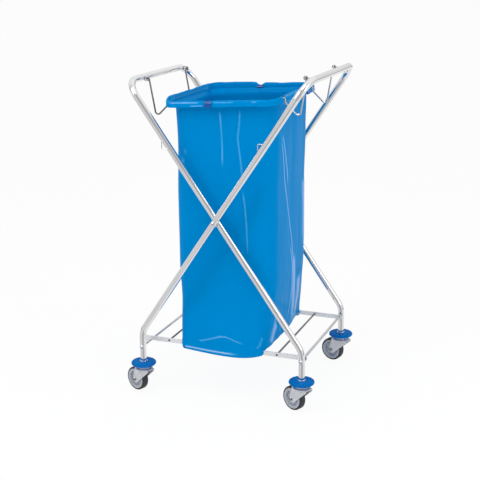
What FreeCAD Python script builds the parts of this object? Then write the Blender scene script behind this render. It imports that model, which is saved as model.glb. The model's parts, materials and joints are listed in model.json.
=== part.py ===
import FreeCAD, Part
import math
import os
import Sketcher

# Waste bag trolley: two chromed tube frames crossing like scissors on four swivel casters.
# A wire ring hung between the handle bars holds the bag, and a wire shelf carries its base.
# Millimetres, +Z up. The origin is on the floor, midway between the two pivot bolts.
# X runs from the inner frame's handle to the outer frame's handle, Y runs along the handles.

Vector = FreeCAD.Vector

DIMENSIONS = (
    ("tube_diameter", 20, "frame tube"),
    ("tube_wall", 1.5, "wall of the frame tube"),
    ("outer_half_width", 233, "from the middle plane to the axis of an outer leg"),
    ("leg_gap", 3, "space between crossing legs"),
    ("pivot_height", 565, "floor to the pivot bolts"),
    ("outer_knee_height", 200, "floor to the bend above the outer frame's feet"),
    ("inner_knee_height", 190, "floor to the bend above the inner frame's feet"),
    ("outer_lean", 34, "lean of the outer frame from upright, degrees"),
    ("inner_lean", 34.9, "lean of the inner frame from upright, degrees"),
    ("outer_arm", 502, "pivot to handle bar on the outer frame"),
    ("inner_arm", 485.5, "pivot to handle bar on the inner frame"),
    ("handle_bend", 56, "centre-line radius of the handle corners"),
    ("knee_bend", 60, "centre-line radius of the bend above the foot"),
    ("tube_end_height", 104, "floor to the lower end of the tubes"),
    ("pivot_diameter", 8, "pivot bolt"),
    ("pivot_head_diameter", 13, "domed head and cap nut of the pivot bolt"),
    ("pivot_head_height", 3.5, "height of the domed head"),
    ("pivot_nut_height", 6, "height of the domed cap nut"),
    ("running_gap", 0.1, "clearance of a turning fit, on the radius or the face"),
    ("soft_gap", 0.3, "clearance between film, wire and what they lie on"),
    ("cross_rod_diameter", 8, "rod joining the feet of one frame"),
    ("cap_diameter", 13, "cap nut on the end of a cross rod"),
    ("cap_height", 5, "height of that cap nut"),
    ("shelf_height", 163, "floor to the middle of the shelf bars"),
    ("bar_height", 14, "shelf bar, a flat bar on edge"),
    ("bar_thickness", 3, "thickness of the shelf bar"),
    ("bar_side_gap", 10.5, "from the inner leg to the shelf bar beside it"),
    ("bar_eye_radius", 9, "rounded eye at the hinged end of a shelf bar"),
    ("lip_reach", 10, "length of the hooked end beyond the rod it rests on"),
    ("lip_drop", 9, "depth of that hooked end below the bar"),
    ("grid_rod_diameter", 6, "rods across the shelf"),
    ("grid_rod_pitch", 177, "spacing of the rods across the shelf"),
    ("rivet_height", 2, "riveted rod end standing out of the bar"),
    ("spacer_diameter", 14, "spacer sleeve on the hinge rod"),
    ("eye_setback", 34, "handle bar to the eyes that carry the hangers, towards the middle"),
    ("eye_rise", 1, "handle bar up to those eyes"),
    ("hanger_spread", 130, "middle plane to each hanger, along the handle"),
    ("hanger_wire", 5, "hanger wire"),
    ("hanger_leg", 117, "hanger's eye bolt to the hanger's corner"),
    ("hanger_arm", 70.5, "hanger's corner to the bag ring"),
    ("hanger_bend", 9, "centre-line radius of that corner"),
    ("cross_leg_bend", 5, "centre-line radius of the hanger's top corner"),
    ("cross_leg_length", 18, "length of the hanger's leg through its eye"),
    ("eye_offset", 10, "hanger to the eye bolt beside it, along the handle"),
    ("eye_wire", 4, "thickness of the eye bolt"),
    ("slot_gap", 1, "room round the hanger in the slotted eyes of the inner frame"),
    ("slot_travel", 5.6, "how far the hanger can slide in those eyes"),
    ("hook_wire", 2.6, "wire of the small hooks on the front legs"),
    ("outer_hook_height", 792, "floor to the middle of the hook on the outer leg"),
    ("inner_hook_height", 784, "floor to the middle of the hook on the inner leg"),
    ("hook_length", 22, "upright run of those hooks"),
    ("hook_reach", 13, "axis of the outer leg to its hook's upright run"),
    ("ring_drop", 66, "eyes down to the bag ring's sides"),
    ("ring_half_length", 175, "half size of the bag ring, across the handles"),
    ("ring_side_gap", 12, "inner legs to the ring's axis, along the handles"),
    ("ring_corner", 40, "centre-line radius of the ring's corners"),
    ("ring_wire", 7, "ring wire"),
    ("film_wall", 1.5, "bag wall"),
    ("lip_height", 16, "folded edge of the bag below the ring's axis"),
    ("neck_straight", 4, "upright film under the ring's axis"),
    ("bag_neck_drop", 25, "ring's axis down to the neck of the bag"),
    ("bag_half_length", 155, "half size of the bag, across the handles"),
    ("bag_side_gap", 28, "inner legs to the bag, along the handles"),
    ("bag_belly", 3, "how far the bag swells above its base and the shelf bars"),
    ("bag_low_rise", 0.06, "share of the bag's height where it has swelled"),
    ("bag_full_rise", 0.3, "share of the bag's height where it is widest"),
    ("bag_corner", 48, "corner radius of the bag"),
    ("bag_foot_half_length", 141, "half size of the bag's base, across the handles"),
    ("hem_half_length", 136, "half length of the fold hanging over a shelf bar"),
    ("hem_drop", 27, "depth of that fold at its middle"),
    ("hem_end_drop", 14, "depth of that fold at its ends"),
    ("slot_width", 9, "notch in the folded edge where a hanger grips the ring"),
    ("clip_length", 22, "clip that pins the film to the ring"),
    ("clip_wall", 2, "wall of the clip"),
    ("clip_tab", 11, "finger tab of the clip below the ring's axis"),
    ("front_clip_offset", -31, "place of the front clip along the ring"),
    ("back_clip_offset", -9, "place of the back clip along the ring"),
    ("side_clip_offset", 82, "place of the side clip along the ring"),
    ("wheel_diameter", 75, "caster wheel"),
    ("tread_width", 22, "width of the tyre"),
    ("tyre_depth", 9, "thickness of the tyre"),
    ("tread_edge", 4, "rounding of the tyre's shoulders"),
    ("hub_diameter", 18, "hub of the wheel"),
    ("hub_width", 24, "width of the hub"),
    ("web_thickness", 5, "disc between the hub and the band of the wheel"),
    ("web_draft", 2, "slope of the hub and the band beside the disc"),
    ("band_depth", 4, "thickness of the band under the tyre"),
    ("axle_diameter", 8, "caster axle bolt"),
    ("axle_head_diameter", 13, "head of the axle bolt"),
    ("axle_head_height", 4, "height of the head and of the nut"),
    ("fork_wall", 2.5, "pressed steel of the fork"),
    ("fork_side_gap", 0.5, "from the hub to each cheek of the fork"),
    ("fork_top_height", 80, "floor to the top of the fork's crown"),
    ("fork_front", 30, "kingpin to the front edge of a cheek"),
    ("fork_back", 25, "kingpin to the back edge of a cheek"),
    ("fork_toe", 10, "half width of a cheek at the axle"),
    ("fork_toe_bend", 8, "rounding of a cheek under the axle"),
    ("crown_diameter", 54, "round plate of the fork's crown"),
    ("race_diameter", 36, "ball race under the bumper"),
    ("caster_trail", 30, "kingpin to axle"),
    ("left_front_turn", -20.6, "direction each caster rolls in, degrees from X"),
    ("left_back_turn", -22, "the same, left back"),
    ("right_front_turn", -25.3, "the same, right front"),
    ("right_back_turn", -15.3, "the same, right back"),
    ("kingpin_diameter", 10, "kingpin of the caster"),
    ("kingpin_flange", 18, "riveted foot of the kingpin"),
    ("bumper_diameter", 77, "round bumper disc"),
    ("bumper_thickness", 10, "thickness of the bumper disc"),
    ("bumper_dome", 1, "fall of the bumper's top from its middle to its rim"),
    ("bumper_edge", 4.4, "rounding of the bumper's rim"),
    ("collar_diameter", 24, "collar between the bumper and the tube"),
    ("collar_height", 2, "height of that collar"),
    ("plug_length", 32, "plug inside the tube end"),
)

doc = FreeCAD.newDocument("waste_bag_trolley")
sheet = doc.addObject("Spreadsheet::Sheet", "dims")
for row, (alias, number, note) in enumerate(DIMENSIONS, start=1):
    sheet.set(f"A{row}", note)
    sheet.set(f"B{row}", str(number))
    sheet.setAlias(f"B{row}", alias)
doc.recompute()

sub_parts = []


def size(expression):
    """Value of an expression in the sheet's names."""
    value = sheet.evalExpression(expression)
    return float(getattr(value, "Value", value))


def keep(item, node):
    """Name a finished sub-part and note it for export."""
    item.Label = node
    sub_parts.append(item)
    return item


def add_shape(node, shape):
    """A sub-part whose shape is worked out from the sheet in this file."""
    item = keep(doc.addObject("Part::Feature", node), node)
    item.Shape = shape
    return item


def bind(item, **expressions):
    """Bind an object's properties to the sheet."""
    for prop, expression in expressions.items():
        item.setExpression(prop.replace("__", "."), expression)
    return item


def sheet_names(expression):
    """Write the sheet's aliases in the form that other objects need."""
    for alias in sorted((entry[0] for entry in DIMENSIONS), key=len, reverse=True):
        expression = expression.replace(alias, "#" + alias[::-1] + "#")
    for alias in (entry[0] for entry in DIMENSIONS):
        expression = expression.replace("#" + alias[::-1] + "#", "dims." + alias)
    return expression


def plane_of(body, role):
    """One of the body's own origin planes."""
    return next(item for item in body.Origin.OriginFeatures if item.Role == role)


def new_sketch(body, role, name):
    sketch = body.newObject("Sketcher::SketchObject", name)
    sketch.AttachmentSupport = [(plane_of(body, role), "")]
    sketch.MapMode = "FlatFace"
    return sketch


def place_point(sketch, geometry, position, point):
    """Fix a sketch point by two expressions, measured from the sketch's origin."""
    for kind, axis, expression in (("DistanceX", -2, point[0]), ("DistanceY", -1, point[1])):
        if expression == "0":
            sketch.addConstraint(Sketcher.Constraint("PointOnObject", geometry, position, axis))
            continue
        rule = Sketcher.Constraint(kind, -1, 1, geometry, position, size(expression))
        index = sketch.addConstraint(rule)
        sketch.setExpression(f"Constraints[{index}]", sheet_names(expression))


def outline(body, role, name, points):
    """Closed sketch of straight lines through points given as pairs of expressions."""
    sketch = new_sketch(body, role, name)
    corners = [Vector(size(across), size(up), 0) for across, up in points]
    count = len(corners)
    for index in range(count):
        line = Part.LineSegment(corners[index], corners[(index + 1) % count])
        sketch.addGeometry(line, False)
    for index in range(count):
        sketch.addConstraint(Sketcher.Constraint("Coincident", index, 2, (index + 1) % count, 1))
    for index, point in enumerate(points):
        place_point(sketch, index, 1, point)
    return sketch


def circles(body, role, name, discs):
    """Sketch of full circles, each given by its centre and its diameter."""
    sketch = new_sketch(body, role, name)
    for index, (across, up, diameter) in enumerate(discs):
        centre = Vector(size(across), size(up), 0)
        radius = size(diameter) / 2
        sketch.addGeometry(Part.Circle(centre, Vector(0, 0, 1), radius), False)
        place_point(sketch, index, 3, (across, up))
        rule = sketch.addConstraint(Sketcher.Constraint("Diameter", index, radius * 2))
        sketch.setExpression(f"Constraints[{rule}]", sheet_names(diameter))
    return sketch


def turned(body, name, points):
    """Revolve an outline of (radius, height) pairs about the body's Z axis."""
    sketch = outline(body, "XZ_Plane", name + "_profile", points)
    feature = body.newObject("PartDesign::Revolution", name)
    feature.Profile = sketch
    feature.ReferenceAxis = (sketch, ["V_Axis"])
    feature.Angle = 360
    doc.recompute()
    return feature


def padded(body, name, sketch, length, kind="PartDesign::Pad", side="Symmetric"):
    """Pad or pocket a sketch by a length given as an expression."""
    feature = body.newObject(kind, name)
    feature.Profile = sketch
    feature.SideType = side
    feature.setExpression("Length", sheet_names(length))
    doc.recompute()
    return feature


def rounded(body, name, base, test, radius):
    """Fillet those edges of a feature that pass a test."""
    names = [f"Edge{number}" for number, edge in enumerate(base.Shape.Edges, start=1) if test(edge)]
    feature = body.newObject("PartDesign::Fillet", name)
    feature.Base = (base, names)
    feature.setExpression("Radius", sheet_names(radius))
    doc.recompute()
    return feature


def lies_along(edge, direction):
    """True for a straight edge along the direction."""
    if edge.Curve.TypeId != "Part::GeomLine":
        return False
    return math.isclose(abs(edge.Curve.Direction.dot(direction)), 1)


def is_circle(edge, radius):
    """True for a round edge of the radius."""
    return edge.Curve.TypeId == "Part::GeomCircle" and math.isclose(edge.Curve.Radius, radius)


def bent_path(points, radii):
    """Straight runs joined by tangent arcs, one radius for each inner point."""
    edges = []
    start = points[0]
    for index, radius in enumerate(radii, start=1):
        corner = points[index]
        back = (points[index - 1] - corner).normalize()
        ahead = (points[index + 1] - corner).normalize()
        half = (math.pi - back.getAngle(ahead)) / 2
        cut = radius * math.tan(half)
        middle = (back + ahead).normalize() * (radius / math.cos(half) - radius)
        arc = Part.Arc(corner + back * cut, corner + middle, corner + ahead * cut)
        edges.append(Part.LineSegment(start, corner + back * cut).toShape())
        edges.append(arc.toShape())
        start = corner + ahead * cut
    edges.append(Part.LineSegment(start, points[-1]).toShape())
    return Part.Wire(edges)


def swept(path, diameter):
    """Round wire or bar along a path."""
    edge = path.OrderedEdges[0]
    start = edge.valueAt(edge.FirstParameter)
    circle = Part.Circle(start, edge.tangentAt(edge.FirstParameter), diameter / 2)
    return path.makePipe(Part.Face(Part.Wire(circle.toShape())))


def rounded_rectangle(half_length, half_width, corner, height):
    """Closed wire of a rounded rectangle at a height."""
    edges = []
    quarter = math.pi / 2
    signs = ((1, 1), (-1, 1), (-1, -1), (1, -1))
    for index, (sign_x, sign_y) in enumerate(signs):
        centre = Vector(sign_x * (half_length - corner), sign_y * (half_width - corner), height)
        arc = Part.ArcOfCircle(Part.Circle(centre, Vector(0, 0, 1), corner),
                               index * quarter, (index + 1) * quarter)
        edges.append(arc.toShape())
    lines = []
    for index in range(4):
        begin = edges[index].Vertexes[-1].Point
        end = edges[(index + 1) % 4].Vertexes[0].Point
        lines.append(Part.LineSegment(begin, end).toShape())
    ordered = [edge for pair in zip(edges, lines) for edge in pair]
    return Part.Wire(ordered)


def ring_wire_path(offset, height):
    """The ring's centre line, moved outwards by an offset and up by a height, in the ring's own frame."""
    return rounded_rectangle(size("ring_half_length") + offset, size(ring_half_width) + offset,
                             size("ring_corner") + offset, height)


def round_the_ring(profile):
    """Carry a profile drawn across the ring's +X side all the way round the ring."""
    straight_x = size("ring_half_length - ring_corner")
    straight_y = size(f"{ring_half_width} - ring_corner")
    centre = Vector(straight_x, straight_y, 0)
    side = profile.extrude(Vector(0, straight_y, 0))
    at_corner = profile.copy()
    at_corner.translate(Vector(0, straight_y, 0))
    corner = at_corner.revolve(centre, Vector(0, 0, 1), 90)
    turned_side = at_corner.copy()
    turned_side.rotate(centre, Vector(0, 0, 1), 90)
    end = turned_side.extrude(Vector(-straight_x, 0, 0))
    quarter = side.fuse([corner, end])
    half = quarter.fuse(quarter.mirror(Vector(), Vector(1, 0, 0)))
    return half.fuse(half.mirror(Vector(), Vector(0, 1, 0))).removeSplitter()


# Places that several pieces share

inner_half_width = "(outer_half_width - tube_diameter - leg_gap)"
outer_foot = "((pivot_height - outer_knee_height) * tan(outer_lean * 1 deg))"
inner_foot = "((pivot_height - inner_knee_height) * tan(inner_lean * 1 deg))"
ring_half_width = f"({inner_half_width} - tube_diameter / 2 - ring_side_gap)"
bag_half_width = f"({inner_half_width} - tube_diameter / 2 - bag_side_gap)"
rest_rod_height = "(shelf_height - bar_height / 2 - soft_gap - cross_rod_diameter / 2)"
bar_place = f"({inner_half_width} - tube_diameter / 2 - bar_side_gap - bar_thickness / 2)"
bar_top = "(shelf_height + bar_height / 2)"
wheel_radius = "(wheel_diameter / 2)"
fork_inside = "(hub_width + 2 * fork_side_gap)"
fork_outside = "(hub_width + 2 * fork_side_gap + 2 * fork_wall)"
bumper_bottom = "(tube_end_height - collar_height - bumper_thickness)"

SIDES = {"front": -1, "back": 1}


def handle_point(sign, arm, lean):
    """Centre of a handle bar in the X-Z plane."""
    angle = math.radians(size(lean))
    across = sign * size(arm) * math.sin(angle)
    return Vector(across, 0, size("pivot_height") + size(arm) * math.cos(angle))


def at_side(point, y):
    return Vector(point.x, y, point.z)


def cylinder_between(start, end, diameter):
    """Plain round bar from one point to another."""
    return Part.makeCylinder(diameter / 2, start.distanceToPoint(end), start, end - start)


handles = {1: handle_point(1, "outer_arm", "outer_lean"), -1: handle_point(-1, "inner_arm", "inner_lean")}


def eye_point(sign):
    """Eye beside one handle bar, in the X-Z plane."""
    return handles[sign] + Vector(-sign * size("eye_setback"), 0, size("eye_rise"))


def eye_places(sign):
    """Front and back eye centres of one handle."""
    along = size("hanger_spread + eye_offset")
    return [at_side(eye_point(sign), side * along) for side in SIDES.values()]


def ring_place():
    """Place of the bag ring: hung at an equal drop below both handles' eyes, so it tips with them."""
    right, left = eye_point(1), eye_point(-1)
    tip = math.asin((right.z - left.z) / (2 * size("ring_half_length")))
    middle = (right + left) / 2 - Vector(0, 0, size("ring_drop"))
    return FreeCAD.Placement(middle, FreeCAD.Rotation(Vector(0, -1, 0), math.degrees(tip)))


ring_frame = ring_place()


def on_ring(shape):
    """Move a shape from the ring's own level frame to the ring."""
    shape.Placement = ring_frame.multiply(shape.Placement)
    return shape


# Frames: one bent tube each, drilled for the pivot bolts, the cross rod and the eye bolts

def frame_tube(sign, half_width, foot, knee_height, rod_height):
    """U-bent tube with its handle on the side given by the sign and its feet opposite."""
    width = size(half_width)
    handle = handles[sign]
    foot_x = -sign * size(foot)
    knee = Vector(foot_x, 0, size(knee_height))
    end = Vector(foot_x, 0, size("tube_end_height"))
    points = [at_side(end, -width), at_side(knee, -width), at_side(handle, -width),
              at_side(handle, width), at_side(knee, width), at_side(end, width)]
    radii = [size("knee_bend"), size("handle_bend"), size("handle_bend"), size("knee_bend")]
    path = bent_path(points, radii)
    outside = swept(path, size("tube_diameter"))
    tube = outside.cut(swept(path, size("tube_diameter - 2 * tube_wall")))
    reach = size("outer_half_width + tube_diameter")
    drills = [
        cylinder_between(Vector(0, -reach, size("pivot_height")), Vector(0, reach, size("pivot_height")),
                         size("pivot_diameter + 2 * running_gap")),
        cylinder_between(Vector(foot_x, -reach, size(rod_height)), Vector(foot_x, reach, size(rod_height)),
                         size("cross_rod_diameter + 2 * running_gap")),
    ]
    for eye in eye_places(sign):
        drills.append(cylinder_between(at_side(handle, eye.y), eye, size("eye_wire + 2 * running_gap")))
    return tube.cut(drills)


add_shape("outer_frame_tube", frame_tube(1, "outer_half_width", outer_foot, "outer_knee_height",
                                         rest_rod_height))
add_shape("inner_frame_tube", frame_tube(-1, inner_half_width, inner_foot, "inner_knee_height",
                                         "shelf_height"))


# Pivot bolts: a domed bolt outside, a washer between the legs and a cap nut inside

def domed(start, direction, base_diameter, height):
    """Dome with a flat foot at the start point."""
    radius = base_diameter / 2
    ball = (radius ** 2 + height ** 2) / (2 * height)
    centre = start + direction * (height - ball)
    beyond_foot = Part.makeCylinder(2 * radius, 2 * height, start, direction)
    return Part.makeSphere(ball, centre).common(beyond_foot)


def pivot_set():
    """Bolts, washers and nuts of both pivots, as three lists of solids."""
    bolts, washers, nuts = [], [], []
    gap = size("running_gap")
    outside = size("outer_half_width + tube_diameter / 2") + gap
    inside = size(f"{inner_half_width} - tube_diameter / 2") - gap
    between = size("outer_half_width - tube_diameter / 2") - gap
    thickness = size("leg_gap") - 2 * gap
    head, height = size("pivot_head_diameter"), size("pivot_head_height")
    for side in SIDES.values():
        out = Vector(0, side, 0)
        axis = Vector(0, 0, size("pivot_height"))
        shank = cylinder_between(axis + out * outside, axis + out * (inside - size("pivot_nut_height / 2")),
                                 size("pivot_diameter"))
        bolts.append(shank.fuse(domed(axis + out * outside, out, head, height)).removeSplitter())
        ring = Part.makeCylinder(head / 2, thickness, axis + out * between, out * -1)
        hole = Part.makeCylinder(size("pivot_diameter") / 2, thickness, axis + out * between, out * -1)
        washers.append(ring.cut(hole))
        cap = domed(axis + out * inside, out * -1, head, size("pivot_nut_height"))
        nuts.append(cap.cut(shank))
    return bolts, washers, nuts


for node, pieces in zip(("pivot_bolts", "pivot_washers", "pivot_nuts"), pivot_set()):
    add_shape(node, Part.makeCompound(pieces))


# Cross rods and the cap nuts on their ends

def cross_rod(node, foot, height, half_width):
    rod = keep(doc.addObject("Part::Cylinder", node), node)
    reach = f"({half_width} + tube_diameter / 2 + cap_height / 2)"
    bind(rod, Radius=sheet_names("cross_rod_diameter / 2"), Height=sheet_names(f"2 * {reach}"))
    rod.Placement = FreeCAD.Placement(Vector(), FreeCAD.Rotation(Vector(1, 0, 0), 90))
    bind(rod, Placement__Base__x=sheet_names(foot), Placement__Base__y=sheet_names(reach),
         Placement__Base__z=sheet_names(height))
    return rod


def rod_caps(foot, height, half_width):
    caps = []
    for side in SIDES.values():
        out = Vector(0, side, 0)
        face = size(f"{half_width} + tube_diameter / 2")
        start = Vector(size(foot), side * face, size(height))
        cap = domed(start, out, size("cap_diameter"), size("cap_height"))
        depth = size("cap_height / 2")
        caps.append(cap.cut(Part.makeCylinder(size("cross_rod_diameter / 2"), depth, start, out)))
    return Part.makeCompound(caps)


cross_rod("left_cross_rod", f"-{outer_foot}", rest_rod_height, "outer_half_width")
add_shape("left_rod_caps", rod_caps(f"-{outer_foot}", rest_rod_height, "outer_half_width"))
cross_rod("right_cross_rod", inner_foot, "shelf_height", inner_half_width)
add_shape("right_rod_caps", rod_caps(inner_foot, "shelf_height", inner_half_width))


# Shelf: two flat bars on edge, hinged on the right rod and resting on the left rod

def shelf_bar(node, side):
    """Flat bar with an eye for the hinge rod and a turned-down end beyond the other rod."""
    body = keep(doc.addObject("PartDesign::Body", node), node)
    top = bar_top
    bottom = "(shelf_height - bar_height / 2)"
    hook_inside = f"(-{outer_foot} - cross_rod_diameter / 2 - soft_gap)"
    hook_end = f"({hook_inside} - lip_reach + cross_rod_diameter / 2)"
    profile = outline(body, "XZ_Plane", node + "_profile", (
        (hook_end, top), (inner_foot, top), (inner_foot, bottom), (hook_inside, bottom),
        (hook_inside, f"{bottom} - lip_drop"), (hook_end, f"{bottom} - lip_drop")))
    padded(body, node + "_bar", profile, "bar_thickness")
    eye = circles(body, "XZ_Plane", node + "_eye", ((inner_foot, "shelf_height", "2 * bar_eye_radius"),))
    padded(body, node + "_boss", eye, "bar_thickness")
    holes = [(inner_foot, "shelf_height", "cross_rod_diameter + 2 * running_gap")]
    for place in ("-grid_rod_pitch", "0", "grid_rod_pitch"):
        holes.append((place, "shelf_height", "grid_rod_diameter"))
    drilled = circles(body, "XZ_Plane", node + "_holes", holes)
    padded(body, node + "_drilled", drilled, "3 * bar_thickness", "PartDesign::Pocket")
    bind(body, Placement__Base__y=sheet_names(f"{side} * {bar_place}"))
    return body


def grid_rod(node, place):
    """Rod riveted through both shelf bars."""
    rod = keep(doc.addObject("Part::Cylinder", node), node)
    reach = f"({bar_place} + bar_thickness / 2 + rivet_height)"
    bind(rod, Radius=sheet_names("grid_rod_diameter / 2"), Height=sheet_names(f"2 * {reach}"))
    rod.Placement = FreeCAD.Placement(Vector(), FreeCAD.Rotation(Vector(1, 0, 0), 90))
    bind(rod, Placement__Base__x=sheet_names(place), Placement__Base__y=sheet_names(reach),
         Placement__Base__z=sheet_names("shelf_height"))
    return rod


for word, side in SIDES.items():
    shelf_bar(f"shelf_{word}_bar", side)
grid_rod("shelf_left_rod", "-grid_rod_pitch")
grid_rod("shelf_middle_rod", "0")
grid_rod("shelf_right_rod", "grid_rod_pitch")


def shelf_spacers():
    """Sleeves that keep the shelf bars clear of the legs on the hinge rod."""
    sleeves = []
    gap = size("running_gap")
    length = size("bar_side_gap") - 2 * gap
    bore = size("cross_rod_diameter / 2")
    for side in SIDES.values():
        start = Vector(size(inner_foot), side * (size(f"{bar_place} + bar_thickness / 2") + gap),
                       size("shelf_height"))
        out = Vector(0, side, 0)
        sleeve = Part.makeCylinder(size("spacer_diameter / 2"), length, start, out)
        sleeves.append(sleeve.cut(Part.makeCylinder(bore, length, start, out)))
    return Part.makeCompound(sleeves)


add_shape("shelf_spacers", shelf_spacers())


# Eye bolts screwed into the handle bars, two to a handle

def eye_loop(eye, towards_bar, gap, travel):
    """Closed path of an eye round the hanger wire, drawn out towards the handle bar by a travel."""
    reach = size("hanger_wire / 2") + gap + size("eye_wire / 2")
    if not travel:
        return Part.Wire(Part.Circle(eye, Vector(0, 1, 0), reach).toShape())
    far = eye + towards_bar * travel
    up = Vector(0, 1, 0).cross(towards_bar) * reach
    edges = [Part.Arc(eye + up, eye - towards_bar * reach, eye - up).toShape(),
             Part.LineSegment(eye - up, far - up).toShape(),
             Part.Arc(far - up, far + towards_bar * reach, far + up).toShape(),
             Part.LineSegment(far + up, eye + up).toShape()]
    return Part.Wire(edges)


def eye_bolts(sign, gap, travel):
    """Shanks from the handle bar to the eyes, and the eyes themselves."""
    wire = size("eye_wire")
    reach = size("hanger_wire / 2") + gap + wire / 2
    bolts = []
    for eye in eye_places(sign):
        axis = at_side(handles[sign], eye.y)
        out = (axis - eye).normalize()
        start = axis - out * (size("tube_diameter / 2 - tube_wall") - wire / 2)
        shank = cylinder_between(start, eye + out * (travel + reach), wire)
        bolts.append(shank.fuse(swept(eye_loop(eye, out, gap, travel), wire)))
    return Part.makeCompound(bolts)


add_shape("right_eye_bolts", eye_bolts(1, size("soft_gap"), 0))
add_shape("left_eye_bolts", eye_bolts(-1, size("slot_gap"), size("slot_travel")))


# Hooks: short bent wires welded to the front legs, in the gap where the two frames pass each other

def leg_hook(sign, lean, height, face, reach):
    """Square wire bow on a front leg, its upright run a reach to the -X side of the leg's axis."""
    slope = sign * math.tan(math.radians(size(lean)))
    wire = size("hook_wire")
    low = size(f"{height} - hook_length / 2")
    high = size(f"{height} + hook_length / 2")

    def on_axis(level):
        return Vector((level - size("pivot_height")) * slope, -face, level)

    run = min(on_axis(low).x, on_axis(high).x) - reach
    corners = [on_axis(low), Vector(run, -face, low), Vector(run, -face, high), on_axis(high)]
    return swept(bent_path(corners, [wire, wire]), wire)


add_shape("outer_leg_hooks", leg_hook(1, "outer_lean", "outer_hook_height",
                                      size("outer_half_width - tube_diameter / 2 - hook_wire / 2"),
                                      size("hook_reach")))
add_shape("inner_leg_hooks", leg_hook(-1, "inner_lean", "inner_hook_height",
                                      size(f"{inner_half_width} + tube_diameter / 2 + hook_wire / 2"),
                                      size("2 * hook_wire")))


# Hangers: bent wires from the eye bolts down, round a corner and up to the bag ring

def hanger(sign, side):
    """Wire with a cross leg through its eye bolt and a closed eye round the bag ring."""
    y = side * size("hanger_spread")
    wire = size("hanger_wire")
    top = at_side(eye_point(sign), y)
    ring = ring_frame.multVec(Vector(sign * size("ring_half_length"), y, 0))
    leg, arm = size("hanger_leg"), size("hanger_arm")
    span = ring - top
    angle = math.acos((leg ** 2 + span.Length ** 2 - arm ** 2) / (2 * leg * span.Length))
    swing = FreeCAD.Rotation(Vector(0, -sign, 0), math.degrees(angle))
    elbow = top + swing.multVec(span.normalize()) * leg
    major = size("ring_wire / 2 + soft_gap") + wire / 2
    cross_end = top + Vector(0, side * size("cross_leg_length"), 0)
    foot = ring + (elbow - ring).normalize() * major
    path = bent_path([cross_end, top, elbow, foot], [size("cross_leg_bend"), size("hanger_bend")])
    loop = Part.makeTorus(major, wire / 2, ring, Vector(0, 1, 0))
    return swept(path, wire).fuse(loop)


for name, sign in (("right", 1), ("left", -1)):
    for word, side in SIDES.items():
        add_shape(f"hanger_{name}_{word}", hanger(sign, side))


# Bag ring, clips and bag

add_shape("bag_ring", on_ring(swept(ring_wire_path(0, 0), size("ring_wire"))))


def clip(node, across, along, turn):
    """Open sleeve snapped over the film on the ring, with a finger tab outside."""
    body = keep(doc.addObject("PartDesign::Body", node), node)
    inner = "(ring_wire / 2 + 2 * soft_gap + film_wall)"
    outer = f"({inner} + clip_wall)"
    disc = circles(body, "XZ_Plane", node + "_disc", (("0", "0", f"2 * {outer}"),))
    padded(body, node + "_sleeve", disc, "clip_length")
    tab = outline(body, "XZ_Plane", node + "_tab_outline", (
        (inner, "0"), (outer, "0"), (f"{outer} + clip_wall", "-clip_tab"),
        (f"{inner} + clip_wall", "-clip_tab")))
    padded(body, node + "_tab", tab, "clip_length")
    bore = circles(body, "XZ_Plane", node + "_bore", (("0", "0", f"2 * {inner}"),))
    padded(body, node + "_bored", bore, "2 * clip_length", "PartDesign::Pocket")
    mouth = outline(body, "XZ_Plane", node + "_mouth", (
        (f"-{outer}", "-clip_tab - clip_wall"), (inner, "-clip_tab - clip_wall"),
        (inner, "-clip_wall / 2"), (f"-{outer}", "-clip_wall / 2")))
    padded(body, node + "_opened", mouth, "2 * clip_length", "PartDesign::Pocket")
    upright = FreeCAD.Rotation(Vector(0, 0, 1), turn)
    own = FreeCAD.Placement(Vector(size(across), size(along), 0), upright)
    body.Placement = ring_frame.multiply(own)
    return body


clip("clip_front", "front_clip_offset", f"-{ring_half_width}", -90)
clip("clip_back", "back_clip_offset", ring_half_width, 90)
clip("clip_right", "ring_half_length", "side_clip_offset", 0)


def bag_hem(side):
    """Fold of film that hangs over the outside of one shelf bar."""
    wall = size("film_wall")
    top = size(bar_top) + size("soft_gap")
    half = size("hem_half_length")
    face = size(f"{bar_place} + bar_thickness / 2 + rivet_height") + size("soft_gap") * 2
    left = Vector(-half, 0, top - size("hem_end_drop"))
    right = Vector(half, 0, top - size("hem_end_drop"))
    low = Vector(0, 0, top - size("hem_drop"))
    edges = [Part.Arc(left, low, right).toShape(),
             Part.LineSegment(right, Vector(half, 0, top + wall)).toShape(),
             Part.LineSegment(Vector(half, 0, top + wall), Vector(-half, 0, top + wall)).toShape(),
             Part.LineSegment(Vector(-half, 0, top + wall), left).toShape()]
    flap = Part.Face(Part.Wire(edges)).extrude(Vector(0, wall, 0))
    flap.translate(Vector(0, face if side > 0 else -face - wall, 0))
    inside = size(bag_half_width) - 2 * wall
    ledge = Part.makeBox(2 * half, face + wall - inside, wall,
                         Vector(-half, inside if side > 0 else -face - wall, top))
    hem = flap.fuse(ledge)
    hem.translate(Vector(ring_frame.Base.x, 0, 0))
    return hem


def bag_body(inset):
    """Soft tapering bag, drawn in by an inset on every side."""
    floor = size(bar_top) + size("soft_gap") + inset
    ring = size("ring_wire / 2 + soft_gap") + inset
    length, width = size("bag_half_length") - inset, size(bag_half_width) - inset
    corner = size("bag_corner") - inset
    foot = size("bag_foot_half_length") - inset
    belly = width + size("bag_belly")
    rise = ring_frame.Base.z - size("bag_neck_drop") - floor
    sections = [
        rounded_rectangle(foot, width, corner, floor),
        rounded_rectangle((foot + length) / 2, belly, corner, floor + rise * size("bag_low_rise")),
        rounded_rectangle(length, belly, corner, floor + rise * size("bag_full_rise")),
    ]
    for section in sections:
        section.translate(Vector(ring_frame.Base.x, 0, 0))
    sections += [
        on_ring(rounded_rectangle(length, width, corner, -size("bag_neck_drop"))),
        on_ring(ring_wire_path(-ring, -size("neck_straight"))),
        on_ring(ring_wire_path(-ring, 0)),
    ]
    return Part.makeLoft(sections, True, True)


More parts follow.
